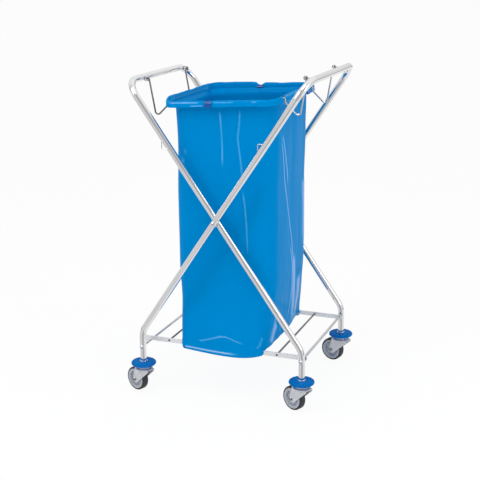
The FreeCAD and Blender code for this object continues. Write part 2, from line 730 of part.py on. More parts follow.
def folded_edge():
    """Film that rises inside the ring, passes over it and hangs down outside."""
    inner = size("ring_wire / 2 + soft_gap")
    outer = inner + size("film_wall")
    side = size("ring_half_length")
    low = -size("lip_height")

    def at(offset, level):
        return Vector(side + offset, 0, level)

    edges = [
        Part.Arc(at(-outer, 0), at(0, outer), at(outer, 0)).toShape(),
        Part.LineSegment(at(outer, 0), at(outer, low)).toShape(),
        Part.LineSegment(at(outer, low), at(inner, low)).toShape(),
        Part.LineSegment(at(inner, low), at(inner, 0)).toShape(),
        Part.Arc(at(inner, 0), at(0, inner), at(-inner, 0)).toShape(),
        Part.LineSegment(at(-inner, 0), at(-outer, 0)).toShape(),
    ]
    return on_ring(round_the_ring(Part.Face(Part.Wire(edges))))


def waste_bag():
    """Open bag: its edge is folded outwards over the ring, with notches for the hangers."""
    walls = bag_body(0).cut(bag_body(size("film_wall")))
    bag = walls.fuse([folded_edge(), bag_hem(-1), bag_hem(1)])
    notches = []
    reach = size("ring_wire / 2 + 3 * soft_gap + hanger_wire")
    for sign in (-1, 1):
        for side in SIDES.values():
            notches.append(on_ring(Part.makeBox(
                2 * reach, size("slot_width"), size("lip_height") + 2 * reach,
                Vector(sign * size("ring_half_length") - reach,
                       side * size("hanger_spread") - size("slot_width / 2"), -size("lip_height")))))
    return bag.cut(notches)


add_shape("waste_bag", waste_bag())


# Casters: fixed kingpin and bumper, swivelling fork, and a wheel on an axle bolt

def swivel_turn(turn):
    return FreeCAD.Rotation(Vector(0, 0, 1), size(turn))


def stand_at(item, foot_x, foot_y, rotation):
    """Place a caster piece on its kingpin's foot point."""
    item.Placement = FreeCAD.Placement(Vector(), rotation)
    bind(item, Placement__Base__x=sheet_names(foot_x), Placement__Base__y=sheet_names(foot_y))
    return item


def mount_on_axle(item, foot_x, foot_y, turn):
    """Place a turned piece with its axis on the caster's axle."""
    item.Placement = FreeCAD.Placement(
        Vector(), swivel_turn(turn).multiply(FreeCAD.Rotation(Vector(1, 0, 0), 90)))
    bind(item, Placement__Base__x=sheet_names(f"{foot_x} - caster_trail * cos({turn} * 1 deg)"),
         Placement__Base__y=sheet_names(f"{foot_y} - caster_trail * sin({turn} * 1 deg)"),
         Placement__Base__z=sheet_names(wheel_radius))
    return item


def tyre(node):
    body = keep(doc.addObject("PartDesign::Body", node), node)
    seat = f"({wheel_radius} - tyre_depth)"
    ring = turned(body, node + "_ring", (
        (seat, "-tread_width / 2"), (wheel_radius, "-tread_width / 2"),
        (wheel_radius, "tread_width / 2"), (seat, "tread_width / 2")))
    outside = size(wheel_radius)
    rounded(body, node + "_shoulders", ring, lambda edge: is_circle(edge, outside), "tread_edge")
    return body


def rim(node):
    body = keep(doc.addObject("PartDesign::Body", node), node)
    seat = f"({wheel_radius} - tyre_depth)"
    bore = "(axle_diameter / 2 + running_gap)"
    band = f"({seat} - band_depth)"
    edge = "(tread_width / 2 - running_gap)"
    web_start = "(hub_diameter / 2 + web_draft)"
    web_end = f"({band} - web_draft)"
    turned(body, node + "_turned", (
        (bore, "-hub_width / 2"), ("hub_diameter / 2", "-hub_width / 2"),
        (web_start, "-web_thickness / 2"), (web_end, "-web_thickness / 2"),
        (band, f"-{edge}"), (seat, f"-{edge}"), (seat, edge), (band, edge),
        (web_end, "web_thickness / 2"), (web_start, "web_thickness / 2"),
        ("hub_diameter / 2", "hub_width / 2"), (bore, "hub_width / 2")))
    return body


def axle(node):
    """Bolt with a low round head against the fork's cheek."""
    body = keep(doc.addObject("PartDesign::Body", node), node)
    face = f"({fork_outside} / 2)"
    turned(body, node + "_bolt", (
        ("0", f"{face} + axle_head_height"), ("axle_head_diameter / 3", f"{face} + axle_head_height"),
        ("axle_head_diameter / 2", f"{face} + axle_head_height / 2"), ("axle_head_diameter / 2", face),
        ("axle_diameter / 2", face), ("axle_diameter / 2", f"-{face} - axle_head_height"),
        ("0", f"-{face} - axle_head_height")))
    return body


def axle_nut(node):
    """Hexagon nut on the far cheek."""
    body = keep(doc.addObject("PartDesign::Body", node), node)
    face = f"({fork_outside} / 2)"
    points = []
    for step in range(6):
        angle = f"{60 * step + 30} * 1 deg"
        points.append((f"axle_head_diameter / 2 * cos({angle})", f"axle_head_diameter / 2 * sin({angle})"))
    hexagon = outline(body, "XY_Plane", node + "_hexagon", points)
    padded(body, node + "_blank", hexagon, f"2 * ({face} + axle_head_height)")
    bore = circles(body, "XY_Plane", node + "_bore", (("0", "0", "axle_diameter"),))
    padded(body, node + "_bored", bore, "4 * hub_width", "PartDesign::Pocket")
    window = outline(body, "XZ_Plane", node + "_window", (
        ("-axle_head_diameter", f"-{face}"), ("axle_head_diameter", f"-{face}"),
        ("axle_head_diameter", "2 * hub_width"), ("-axle_head_diameter", "2 * hub_width")))
    padded(body, node + "_faced", window, "4 * axle_head_diameter", "PartDesign::Pocket")
    return body


def fork(node):
    """Pressed fork: two tapering cheeks under a round crown and its ball race."""
    body = keep(doc.addObject("PartDesign::Body", node), node)
    toe_front = "(-caster_trail + fork_toe)"
    toe_back = "(-caster_trail - fork_toe)"
    toe_low = f"({wheel_radius} - fork_toe)"
    cheeks = outline(body, "XZ_Plane", node + "_cheek_outline", (
        ("-fork_back", "fork_top_height"), ("fork_front", "fork_top_height"),
        ("fork_front", "fork_top_height - 3 * fork_wall"), (toe_front, toe_low),
        (toe_back, toe_low), ("-fork_back - fork_wall", "fork_top_height - 4 * fork_wall")))
    block = padded(body, node + "_block", cheeks, fork_outside)
    low = size(toe_low)
    across = Vector(0, 1, 0)
    rounded(body, node + "_toe", block,
            lambda edge: lies_along(edge, across) and math.isclose(edge.CenterOfMass.z, low), "fork_toe_bend")
    slot = outline(body, "XZ_Plane", node + "_slot_outline", (
        ("-3 * fork_back", "fork_top_height - fork_wall"), ("2 * fork_front", "fork_top_height - fork_wall"),
        ("2 * fork_front", "0"), ("-3 * fork_back", "0")))
    padded(body, node + "_slot", slot, fork_inside, "PartDesign::Pocket")
    hole = circles(body, "XZ_Plane", node + "_axle_hole", (
        ("-caster_trail", wheel_radius, "axle_diameter"),))
    padded(body, node + "_axle_bore", hole, "4 * hub_width", "PartDesign::Pocket")
    race_low = "(fork_top_height - fork_wall)"
    race_top = f"({bumper_bottom} - soft_gap)"
    bore = "(kingpin_diameter / 2 + running_gap)"
    turned(body, node + "_crown", (
        (bore, race_low), ("crown_diameter / 2", race_low), ("crown_diameter / 2", "fork_top_height"),
        ("race_diameter / 2", "fork_top_height + fork_wall / 2"),
        ("race_diameter / 2", f"{race_top} - fork_wall"),
        ("race_diameter / 2 - fork_wall", race_top), (bore, race_top)))
    clear = circles(body, "XY_Plane", node + "_kingpin_hole", (("0", "0", f"2 * {bore}"),))
    padded(body, node + "_kingpin_bore", clear, "4 * fork_top_height", "PartDesign::Pocket")
    return body


def kingpin(node):
    """Pin riveted under the crown, with a collar and a plug that fills the tube's end."""
    body = keep(doc.addObject("PartDesign::Body", node), node)
    pin = "(kingpin_diameter / 2)"
    plug = "(tube_diameter / 2 - tube_wall - running_gap)"
    foot = "(fork_top_height - fork_wall - running_gap)"
    turned(body, node + "_turned", (
        ("0", f"{foot} - fork_wall"), ("kingpin_flange / 2", f"{foot} - fork_wall"),
        ("kingpin_flange / 2", foot), (pin, foot),
        (pin, "tube_end_height - collar_height"), ("collar_diameter / 2", "tube_end_height - collar_height"),
        ("collar_diameter / 2", "tube_end_height"), (plug, "tube_end_height"),
        (plug, "tube_end_height + plug_length"), ("0", "tube_end_height + plug_length")))
    return body


def bumper(node):
    """Round disc under the collar, turned to a soft rim and a slight dome."""
    body = keep(doc.addObject("PartDesign::Body", node), node)
    top = "(tube_end_height - collar_height)"
    rim_radius = "(bumper_diameter / 2)"
    disc = turned(body, node + "_disc", (
        ("kingpin_diameter / 2", bumper_bottom), (rim_radius, bumper_bottom),
        (rim_radius, f"{top} - bumper_dome"), ("collar_diameter / 2 + collar_height", top),
        ("kingpin_diameter / 2", top)))
    outside = size(rim_radius)
    rounded(body, node + "_rim", disc, lambda edge: is_circle(edge, outside), "bumper_edge")
    return body


def caster(word, foot_x, foot_y):
    turn = f"{word}_turn"
    unturned = FreeCAD.Rotation()
    stand_at(kingpin(f"{word}_kingpin"), foot_x, foot_y, unturned)
    stand_at(bumper(f"{word}_bumper"), foot_x, foot_y, unturned)
    stand_at(fork(f"{word}_fork"), foot_x, foot_y, swivel_turn(turn))
    for piece in (axle(f"{word}_axle"), axle_nut(f"{word}_axle_nut"), rim(f"{word}_rim"),
                  tyre(f"{word}_tyre")):
        mount_on_axle(piece, foot_x, foot_y, turn)


for word, side in SIDES.items():
    caster(f"left_{word}", f"-{outer_foot}", f"{side} * outer_half_width")
    caster(f"right_{word}", inner_foot, f"{side} * {inner_half_width}")

doc.recompute()

for item in doc.Objects:
    if "Invalid" in item.State or "Error" in item.State:
        raise RuntimeError(f"{item.Label} did not build: {item.State}")
for item in sub_parts:
    if item.Shape.isNull() or not item.Shape.isValid() or not item.Shape.Solids:
        raise RuntimeError(f"{item.Label} has no valid solid")

os.makedirs("parts", exist_ok=True)
for item in sub_parts:
    item.Shape.exportStep(f"parts/{item.Label}.step")
print(len(sub_parts), "sub-parts written")
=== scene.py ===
import math

import bpy
from mathutils import Matrix, Vector, noise
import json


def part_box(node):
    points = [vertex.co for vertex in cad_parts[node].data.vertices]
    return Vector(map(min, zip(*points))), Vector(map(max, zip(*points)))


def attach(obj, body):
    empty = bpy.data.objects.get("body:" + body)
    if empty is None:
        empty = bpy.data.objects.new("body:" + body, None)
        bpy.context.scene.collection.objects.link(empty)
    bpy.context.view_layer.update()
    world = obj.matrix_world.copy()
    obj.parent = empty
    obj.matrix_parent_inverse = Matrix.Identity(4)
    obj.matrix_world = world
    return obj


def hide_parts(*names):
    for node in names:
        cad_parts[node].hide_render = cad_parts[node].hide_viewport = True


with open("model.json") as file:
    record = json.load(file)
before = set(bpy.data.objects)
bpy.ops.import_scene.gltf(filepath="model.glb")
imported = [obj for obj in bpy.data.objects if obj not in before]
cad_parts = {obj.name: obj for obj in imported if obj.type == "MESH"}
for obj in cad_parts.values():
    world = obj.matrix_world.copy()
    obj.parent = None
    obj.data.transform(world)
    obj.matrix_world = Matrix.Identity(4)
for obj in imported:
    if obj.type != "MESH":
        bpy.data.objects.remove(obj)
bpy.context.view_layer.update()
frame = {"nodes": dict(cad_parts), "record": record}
nodes = frame["nodes"]
scene = bpy.context.scene

# Camera, at the photograph's place and angle

CAMERA_PLACE = Vector((1.1239, -2.8818, 1.3333))
CAMERA_YAW = math.radians(21.5)
CAMERA_PITCH = math.radians(15.9)
CAMERA_ROLL = math.radians(-0.7)
CAMERA_LENS = 76.94
SENSOR_WIDTH = 36.0


def make_camera():
    """Camera turned left by the yaw, tipped down by the pitch and rolled about its own axis."""
    ahead = Vector((-math.sin(CAMERA_YAW) * math.cos(CAMERA_PITCH),
                    math.cos(CAMERA_YAW) * math.cos(CAMERA_PITCH),
                    -math.sin(CAMERA_PITCH)))
    level = Vector((math.cos(CAMERA_YAW), math.sin(CAMERA_YAW), 0))
    upright = level.cross(ahead)
    right = level * math.cos(CAMERA_ROLL) + upright * math.sin(CAMERA_ROLL)
    up = upright * math.cos(CAMERA_ROLL) - level * math.sin(CAMERA_ROLL)
    turn = Matrix((right, up, -ahead)).transposed()
    data = bpy.data.cameras.new("photo_camera")
    data.lens = CAMERA_LENS
    data.sensor_width = SENSOR_WIDTH
    data.clip_start, data.clip_end = 0.05, 200
    camera = bpy.data.objects.new("photo_camera", data)
    camera.matrix_world = Matrix.Translation(CAMERA_PLACE) @ turn.to_4x4()
    scene.collection.objects.link(camera)
    scene.camera = camera


# Shader helpers

def linear(red, green, blue):
    """Linear colour from 8-bit display values."""
    def channel(value):
        share = value / 255
        return share / 12.92 if share <= 0.04045 else ((share + 0.055) / 1.055) ** 2.4
    return (channel(red), channel(green), channel(blue), 1.0)


class Shader:
    """A material's node tree with short calls for the nodes used here."""

    def __init__(self, name):
        self.material = bpy.data.materials.new(name)
        self.material.use_nodes = True
        self.tree = self.material.node_tree
        self.base = self.tree.nodes["Principled BSDF"]
        self.output = self.tree.nodes["Material Output"]
        place = self.node("ShaderNodeTexCoord")
        self.place = place.outputs["Object"]

    def node(self, kind, **settings):
        made = self.tree.nodes.new(kind)
        for name, value in settings.items():
            setattr(made, name, value)
        return made

    def link(self, start, end):
        self.tree.links.new(start, end)

    def set(self, **sockets):
        """Constant values on the principled shader's own sockets."""
        for name, value in sockets.items():
            self.base.inputs[name.replace("_", " ").title().replace("Ior", "IOR")].default_value = value
        return self

    def stretched(self, stretch):
        """Object coordinates, stretched by three factors."""
        mapping = self.node("ShaderNodeMapping")
        mapping.inputs["Scale"].default_value = stretch
        self.link(self.place, mapping.inputs["Vector"])
        return mapping.outputs["Vector"]

    def noise(self, scale, detail=3.0, stretch=(1, 1, 1)):
        made = self.node("ShaderNodeTexNoise")
        made.inputs["Scale"].default_value = scale
        made.inputs["Detail"].default_value = detail
        self.link(self.stretched(stretch), made.inputs["Vector"])
        return made.outputs["Fac"]

    def ramp(self, factor, low, high, start=0.3, end=0.7):
        """Map a factor between start and end to a range of numbers."""
        made = self.node("ShaderNodeMapRange")
        made.inputs["From Min"].default_value = start
        made.inputs["From Max"].default_value = end
        made.inputs["To Min"].default_value = low
        made.inputs["To Max"].default_value = high
        self.link(factor, made.inputs["Value"])
        return made.outputs["Result"]

    def mixed(self, factor, first, second):
        """Colour mixed between two colours or sockets by a factor."""
        made = self.node("ShaderNodeMix", data_type="RGBA")
        for socket, value in ((made.inputs[6], first), (made.inputs[7], second)):
            if isinstance(value, tuple):
                socket.default_value = value
            else:
                self.link(value, socket)
        self.link(factor, made.inputs[0])
        return made.outputs[2]

    def attribute(self, name):
        return self.node("ShaderNodeAttribute", attribute_name=name).outputs["Fac"]

    def roughness(self, factor, low, high):
        self.link(self.ramp(factor, low, high), self.base.inputs["Roughness"])
        return self

    def colour(self, socket):
        self.link(socket, self.base.inputs["Base Color"])
        return self

    def bump(self, height, strength, distance):
        made = self.node("ShaderNodeBump")
        made.inputs["Strength"].default_value = strength
        made.inputs["Distance"].default_value = distance
        self.link(height, made.inputs["Height"])
        self.link(made.outputs["Normal"], self.base.inputs["Normal"])
        return self


# Materials

def tube_chrome():
    """Bright plate with the faint drawing lines of the tube and a thin haze."""
    shader = Shader("tube_chrome").set(metallic=1.0)
    haze = shader.noise(9.0, 4.0)
    shader.colour(shader.mixed(haze, linear(226, 226, 229), linear(246, 246, 247)))
    shader.roughness(shader.noise(22.0, 3.0), 0.06, 0.13)
    return shader.bump(shader.noise(60.0, 2.0, (1, 1, 0.35)), 0.06, 0.0006).material


def wire_chrome():
    """Thinner, slightly duller plate on the bent wires and rods."""
    shader = Shader("wire_chrome").set(metallic=1.0)
    shader.colour(shader.mixed(shader.noise(30.0, 4.0), linear(186, 186, 190), linear(228, 228, 230)))
    shader.roughness(shader.noise(70.0, 3.0), 0.14, 0.26)
    return shader.bump(shader.noise(300.0, 2.0), 0.08, 0.0003).material


def brushed(name, dark, light, rough, grain, metallic=1.0):
    """Plated steel with a fine grain."""
    shader = Shader(name).set(metallic=metallic)
    shader.colour(shader.mixed(shader.noise(grain, 5.0), dark, light))
    shader.roughness(shader.noise(grain * 2.0, 4.0), rough, rough + 0.14)
    return shader.bump(shader.noise(grain * 9.0, 3.0), 0.15, 0.0003).material


def moulded(name, dark, light, rough, grain=900.0, depth=0.00015, gloss=0.2):
    """Moulded plastic with a soft mottle and a fine grain."""
    shader = Shader(name).set(specular_ior_level=gloss)
    shader.colour(shader.mixed(shader.noise(35.0, 4.0), dark, light))
    shader.roughness(shader.noise(60.0, 3.0), rough, rough + 0.12)
    return shader.bump(shader.noise(grain, 2.0), 0.3, depth).material


SIDE_BAND = (0.825, 0.845, 0.875, 0.895)
LIGHT_THROUGH_FILM = 0.12


def tyre_rubber(node):
    """Dark rubber, greyer where it is scuffed, with a pale ring on each side.

    The ring is a band of distances from the hub, in shares of the wheel's radius."""
    low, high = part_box(node.name)
    hub = node.matrix_world.inverted() @ ((low + high) / 2)
    radius = (high.z - low.z) / 2
    shader = Shader("tyre_black").set(specular_ior_level=0.35)
    scuff = shader.noise(120.0, 6.0)
    rubber = shader.mixed(scuff, linear(26, 28, 31), linear(62, 65, 70))
    reach = shader.node("ShaderNodeVectorMath", operation="DISTANCE")
    reach.inputs[1].default_value = hub
    shader.link(shader.place, reach.inputs[0])
    distance = reach.outputs["Value"]
    start, full, fade, end = (share * radius for share in SIDE_BAND)
    band = shader.node("ShaderNodeMath", operation="MULTIPLY")
    shader.link(shader.ramp(distance, 0.0, 1.0, start, full), band.inputs[0])
    shader.link(shader.ramp(distance, 1.0, 0.0, fade, end), band.inputs[1])
    shader.colour(shader.mixed(band.outputs[0], rubber, linear(206, 209, 213)))
    shader.roughness(scuff, 0.5, 0.72)
    return shader.bump(shader.noise(700.0, 4.0), 0.35, 0.0002).material


def bag_film():
    """Blue film: a little light passes through it, and painted highlights lie on it, paler as they grow
    stronger: pale blue, then lilac, then near white, along its creases, on sheen zones and on the shine
    lines of the fold and hem.
    """
    shader = Shader("bag_blue").set(specular_ior_level=0.012, specular_tint=linear(110, 180, 240))
    cloud = shader.noise(3.0, 3.0, (1, 1, 0.4))
    body = shader.mixed(cloud, linear(0, 137, 209), linear(0, 145, 218))
    # Painted highlights: as the attribute grows, the film turns pale blue, then lilac, then near white.
    sheen = shader.attribute("painted_sheen")
    pale = shader.mixed(shader.ramp(sheen, 0.0, 1.0, 0.0, 0.5), body, linear(58, 166, 230))
    lilac_sheen = shader.mixed(shader.ramp(sheen, 0.0, 1.0, 0.5, 0.85), pale, linear(160, 186, 244))
    film_with_sheen = shader.mixed(shader.ramp(sheen, 0.0, 1.0, 0.85, 1.0), lilac_sheen, linear(232, 244, 255))
    shader.colour(film_with_sheen)
    shader.roughness(shader.noise(14.0, 3.0, (1, 1, 0.3)), 0.14, 0.24)
    shader.bump(shader.noise(55.0, 4.0, (1, 1, 0.3)), 0.1, 0.0012)
    through = shader.node("ShaderNodeBsdfTranslucent")
    shader.link(film_with_sheen, through.inputs["Color"])
    film = shader.node("ShaderNodeMixShader")
    film.inputs["Fac"].default_value = LIGHT_THROUGH_FILM
    shader.link(shader.base.outputs["BSDF"], film.inputs[1])
    shader.link(through.outputs["BSDF"], film.inputs[2])
    shader.link(film.outputs["Shader"], shader.output.inputs["Surface"])
    return shader.material


def make_materials():
    return {
        "tube_chrome": tube_chrome(),
        "wire_chrome": wire_chrome(),
        "bolt_steel": brushed("bolt_steel", linear(120, 121, 124), linear(170, 171, 174), 0.28, 140.0),
        "fork_zinc": brushed("fork_zinc", linear(200, 201, 206), linear(228, 229, 234), 0.42, 60.0, 0.55),
        "collar_zinc": brushed("collar_zinc", linear(196, 196, 202), linear(226, 226, 232), 0.24, 90.0),
        "bumper_blue": moulded("bumper_blue", linear(0, 97, 172), linear(8, 108, 184), 0.34, gloss=0.015),
        "rim_grey": moulded("rim_grey", linear(166, 172, 182), linear(190, 195, 205), 0.4),
        "bar_chrome": brushed("bar_chrome", linear(226, 226, 229), linear(244, 244, 246), 0.26, 40.0, 0.6),
        "cap_chrome": brushed("cap_chrome", linear(190, 190, 194), linear(232, 232, 235), 0.16, 140.0),
        "rod_steel": brushed("rod_steel", linear(104, 102, 102), linear(150, 148, 148), 0.2, 200.0),
        "spacer_grey": moulded("spacer_grey", linear(70, 70, 74), linear(92, 92, 96), 0.45),
        "clip_navy": moulded("clip_navy", linear(8, 70, 142), linear(16, 84, 160), 0.22),
        "bag_blue": bag_film(),
    }


OWN_LOOKS = (
    ("shelf_front_bar", "bar_chrome"), ("shelf_back_bar", "bar_chrome"),
    ("shelf_left_rod", "rod_steel"), ("shelf_middle_rod", "rod_steel"), ("shelf_right_rod", "rod_steel"),
    ("hanger_left_front", "rod_steel"), ("hanger_left_back", "rod_steel"),
    ("left_rod_caps", "cap_chrome"), ("right_rod_caps", "cap_chrome"), ("pivot_bolts", "cap_chrome"),
)


def dress_nodes(materials):
    """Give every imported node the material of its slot, or a shade of its own."""
    own = dict(OWN_LOOKS)
    for row in frame["record"]["subparts"]:
        node = nodes[row["node"]]
        slot = row["material_slot"]
        node.data.materials.clear()
        if slot == "tyre_black":
            node.data.materials.append(tyre_rubber(node))
        else:
            node.data.materials.append(materials[own.get(row["node"], slot)])


# The bag: one sheet of film that rises inside the ring, folds over it and hangs down outside

ring_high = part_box("bag_ring")[1]
bag_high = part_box("waste_bag")[1]
bar_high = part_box("shelf_front_bar")[1]
joint_places = {row["name"]: Vector(row["pos_m"]) for row in frame["record"]["behaviour"]["joints"]}

RING_WIRE = 0.0035
RING_RIGHT = joint_places["ring_level"]
RING_LEFT = joint_places["hanger_left"]
RING_CENTRE = (RING_LEFT + RING_RIGHT) / 2
RING_TILT = math.atan2(RING_RIGHT.z - RING_LEFT.z, RING_RIGHT.x - RING_LEFT.x)
RING_TURN = Matrix.Rotation(-RING_TILT, 3, "Y")
RING_HALF = Vector(((RING_RIGHT - RING_LEFT).length / 2, ring_high.y - RING_WIRE))
RING_CORNER = 0.040
FILM_OVER_WIRE = 0.0008
LIP_OFFSET = RING_WIRE + FILM_OVER_WIRE
LIP_DROP = 0.0100
NECK_HEIGHT = RING_CENTRE.z - 0.028
BAG_HALF_LENGTH = 0.158
BACK_TAPER = 0.0045
FOOT_TAPER = 0.0090
FILM_THICKNESS = 0.0004
BAG_HALF_WIDTH = 0.1745
BAG_CORNER = 0.048
FOOT_HALF_LENGTH = 0.141
FOOT_CORNER = 0.026
SHELF_TOP = bar_high.z
HEM_FACE = bag_high.y - 0.0004
HEM_BACK = HEM_FACE - 0.0012
NOTCH_SPREAD = 0.130
NOTCH_HALF = 0.0028
EYE_BULGE = 0.0056
EYE_SPREAD = 0.011


def middle_of(node):
    low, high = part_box(node)
    return (low + high) / 2


ROD_PLACE = middle_of("shelf_middle_rod").x
ROD_PITCH = middle_of("shelf_right_rod").x - ROD_PLACE

GRIPS = [(middle_of(clip) - RING_CENTRE).to_2d() for clip in ("clip_front", "clip_back", "clip_right")]
GRIP_REACH = 0.009
FRONT_CREST = 0.0045
BACK_CREST = 0.0100
LEFT_CREST = 0.0150

RIGHT_STEPS = 108
BACK_STEPS = 34
LEFT_STEPS = 40
FRONT_STEPS = 92
CORNER_STEPS = 9
WALL_ROWS = 90
LOW_ROWS = 30
LOW_FROM = 0.235
LIP_ROWS = 5
NOTCH_ROWS = LIP_ROWS + 3
SWING_ROWS = LIP_ROWS + 11
SWING_HALF = 0.0045
FOLD_ROWS = 9
HEM_ROWS = 8
BASE_RINGS = 10
CREASE_DEPTH = 0.0022
FRONT_CREASE_WIDTH = 0.0034
RIGHT_CREASE_WIDTH = 0.0062
SHEEN_ZONE_WIDTH = 0.022


def smooth(low, high, value):
    """Smooth step from 0 to 1."""
    share = min(max((value - low) / (high - low), 0.0), 1.0)
    return share * share * (3 - 2 * share)


def between(first, second, share):
    return first + (second - first) * share


def around(half_x, half_y, corner):
    """Points and outward normals round a rounded rectangle, always in the same order and number."""
    made = []
    straight_x, straight_y = half_x - corner, half_y - corner
    walls = (
        (Vector((half_x, -straight_y)), Vector((half_x, straight_y)), RIGHT_STEPS),
        (Vector((straight_x, half_y)), Vector((-straight_x, half_y)), BACK_STEPS),
        (Vector((-half_x, straight_y)), Vector((-half_x, -straight_y)), LEFT_STEPS),
        (Vector((-straight_x, -half_y)), Vector((straight_x, -half_y)), FRONT_STEPS),
    )
    centres = ((1, 1), (-1, 1), (-1, -1), (1, -1))
    for index, (start, end, steps) in enumerate(walls):
        normal = Vector((math.cos(index * math.pi / 2), math.sin(index * math.pi / 2)))
        for step in range(steps):
            share = step / steps
            if steps == LEFT_STEPS:
                share = 0.5 - 0.5 * math.cos(math.pi * share)
            made.append((start.lerp(end, share), normal))
        centre = Vector((centres[index][0] * straight_x, centres[index][1] * straight_y))
        for step in range(CORNER_STEPS):
            angle = (index + step / CORNER_STEPS) * math.pi / 2
            direction = Vector((math.cos(angle), math.sin(angle)))
            made.append((centre + direction * corner, direction))
    return made


# Creases and zones of painted sheen, as runs of points on a wall: distance along the wall, then height. Each
# pushes the film out a little and lays a painted highlight on it.

FRONT_CREASES = (
    ((-0.003, 0.885), (-0.002, 0.843), (0.000, 0.765), (0.000, 0.715)),
    ((0.060, 0.893), (0.055, 0.846), (0.048, 0.806), (0.053, 0.766), (0.059, 0.728), (0.065, 0.656)),
    ((0.066, 0.650), (0.072, 0.612), (0.077, 0.548), (0.080, 0.450)),
    ((-0.118, 0.770), (-0.126, 0.735), (-0.130, 0.700)),
    ((-0.088, 0.173), (-0.041, 0.186), (-0.007, 0.199), (0.016, 0.199), (0.051, 0.188), (0.076, 0.182)),
    ((-0.050, 0.184), (-0.007, 0.197), (0.018, 0.202)),
    ((0.078, 0.168), (0.096, 0.176), (0.112, 0.170)),
    ((0.088, 0.158), (0.106, 0.164), (0.122, 0.160)),
    ((0.104, 0.166), (0.122, 0.186), (0.130, 0.215)),
)
RIGHT_CREASES = (
    ((-0.116, 0.820), (-0.094, 0.740), (-0.076, 0.677), (-0.043, 0.584), (-0.004, 0.480), (0.012, 0.405),
     (0.043, 0.320), (0.075, 0.243), (0.088, 0.171)),
    ((-0.104, 0.810), (-0.078, 0.759), (-0.050, 0.678), (-0.044, 0.650)),
    ((-0.018, 0.468), (0.003, 0.391), (0.014, 0.313), (0.016, 0.246), (-0.004, 0.190)),
    ((-0.142, 0.180), (-0.128, 0.230), (-0.112, 0.262)),
)
RIGHT_SHEEN_ZONES = (
    ((0.014, 0.420), (0.030, 0.330), (0.050, 0.250), (0.060, 0.180)),
    ((0.120, 0.640), (0.126, 0.540), (0.126, 0.420)),
    ((0.080, 0.330), (0.104, 0.250), (0.110, 0.170)),
    ((-0.150, 0.180), (-0.120, 0.215), (-0.100, 0.230)),
)


def crease_at(across, height, creases, half_width):
    """How strongly the nearest run, of creases or of sheen zones, is felt at a point of a wall, from 0 to 1.
    """
    strongest = 0.0
    spot = Vector((across, height))
    for run in creases:
        count = len(run) - 1
        for index in range(count):
            start, end = Vector(run[index]), Vector(run[index + 1])
            along = end - start
            share = min(max((spot - start).dot(along) / along.length_squared, 0.0), 1.0)
            gap = (spot - (start + along * share)).length
            if gap >= half_width:
                continue
            place = (index + share) / count
            fade = smooth(0.0, 0.1, place) * smooth(0.0, 0.2, 1 - place)
            strongest = max(strongest, (1 - gap / half_width) * fade)
    return strongest


HEM_LOWEST = 0.1365
HEM_LOW_PLACE = 0.015
HEM_SHINE = 1.0


def hem_height(across):
    """Lower edge of the fold that hangs over a bar: it rises slowly to the left and fast to the right."""
    if across < HEM_LOW_PLACE:
        return HEM_LOWEST + 0.0100 * ((HEM_LOW_PLACE - across) / 0.156) ** 1.6
    return HEM_LOWEST + 0.0185 * ((across - HEM_LOW_PLACE) / 0.115) ** 2.5


def wrinkle(point, height):
    """Slow uneven waves of thin film, drawn out upwards and livelier near the ring and the base."""
    waves = noise.noise(Vector((point.x * 16, point.y * 16, height * 2.6)))
    fine = noise.noise(Vector((point.x * 52 + 7, point.y * 52, height * 9.0)))
    gathers = math.exp(-((height - 0.885) / 0.05) ** 2)
    crumple = math.exp(-((height - 0.19) / 0.05) ** 2)
    return 0.0016 * waves + 0.0005 * fine * (1 + 2.2 * gathers + 1.6 * crumple)


def section(height):
    """Half sizes and corner radius of the bag at a height below the ring."""
    rise = smooth(SHELF_TOP, 0.40, height)
    half_x = between(FOOT_HALF_LENGTH, BAG_HALF_LENGTH, rise)
    half_y = between(HEM_FACE, BAG_HALF_WIDTH, smooth(SHELF_TOP + 0.005, 0.36, height))
    corner = between(FOOT_CORNER, BAG_CORNER, smooth(SHELF_TOP, 0.32, height))
    to_ring = smooth(RING_CENTRE.z - 0.014, RING_CENTRE.z - 0.002, height)
    half_x = between(half_x, RING_HALF.x - LIP_OFFSET, to_ring)
    half_y = between(half_y, RING_HALF.y - LIP_OFFSET, to_ring)
    corner = between(corner, RING_CORNER - LIP_OFFSET, to_ring)
    return half_x, half_y, corner


def in_ring(flat, level):
    """A point of the ring's own tilted plane, at a level above its axis."""
    return RING_CENTRE + RING_TURN @ Vector((flat.x, flat.y, level))


def in_bag(flat, height):
    """A point of the bag: level near the base, tilted with the ring near the top."""
    plain = Vector((RING_CENTRE.x + flat.x, flat.y, height))
    return plain.lerp(in_ring(flat, height - RING_CENTRE.z), smooth(0.62, NECK_HEIGHT, height))


def eye_share(flat, normal):
    """How near a point of the ring is to a left hanger's eye, which the film covers, from 0 to 1."""
    if normal.x > -0.7:
        return 0.0
    return math.exp(-((abs(flat.y) - NOTCH_SPREAD) / EYE_SPREAD) ** 2)


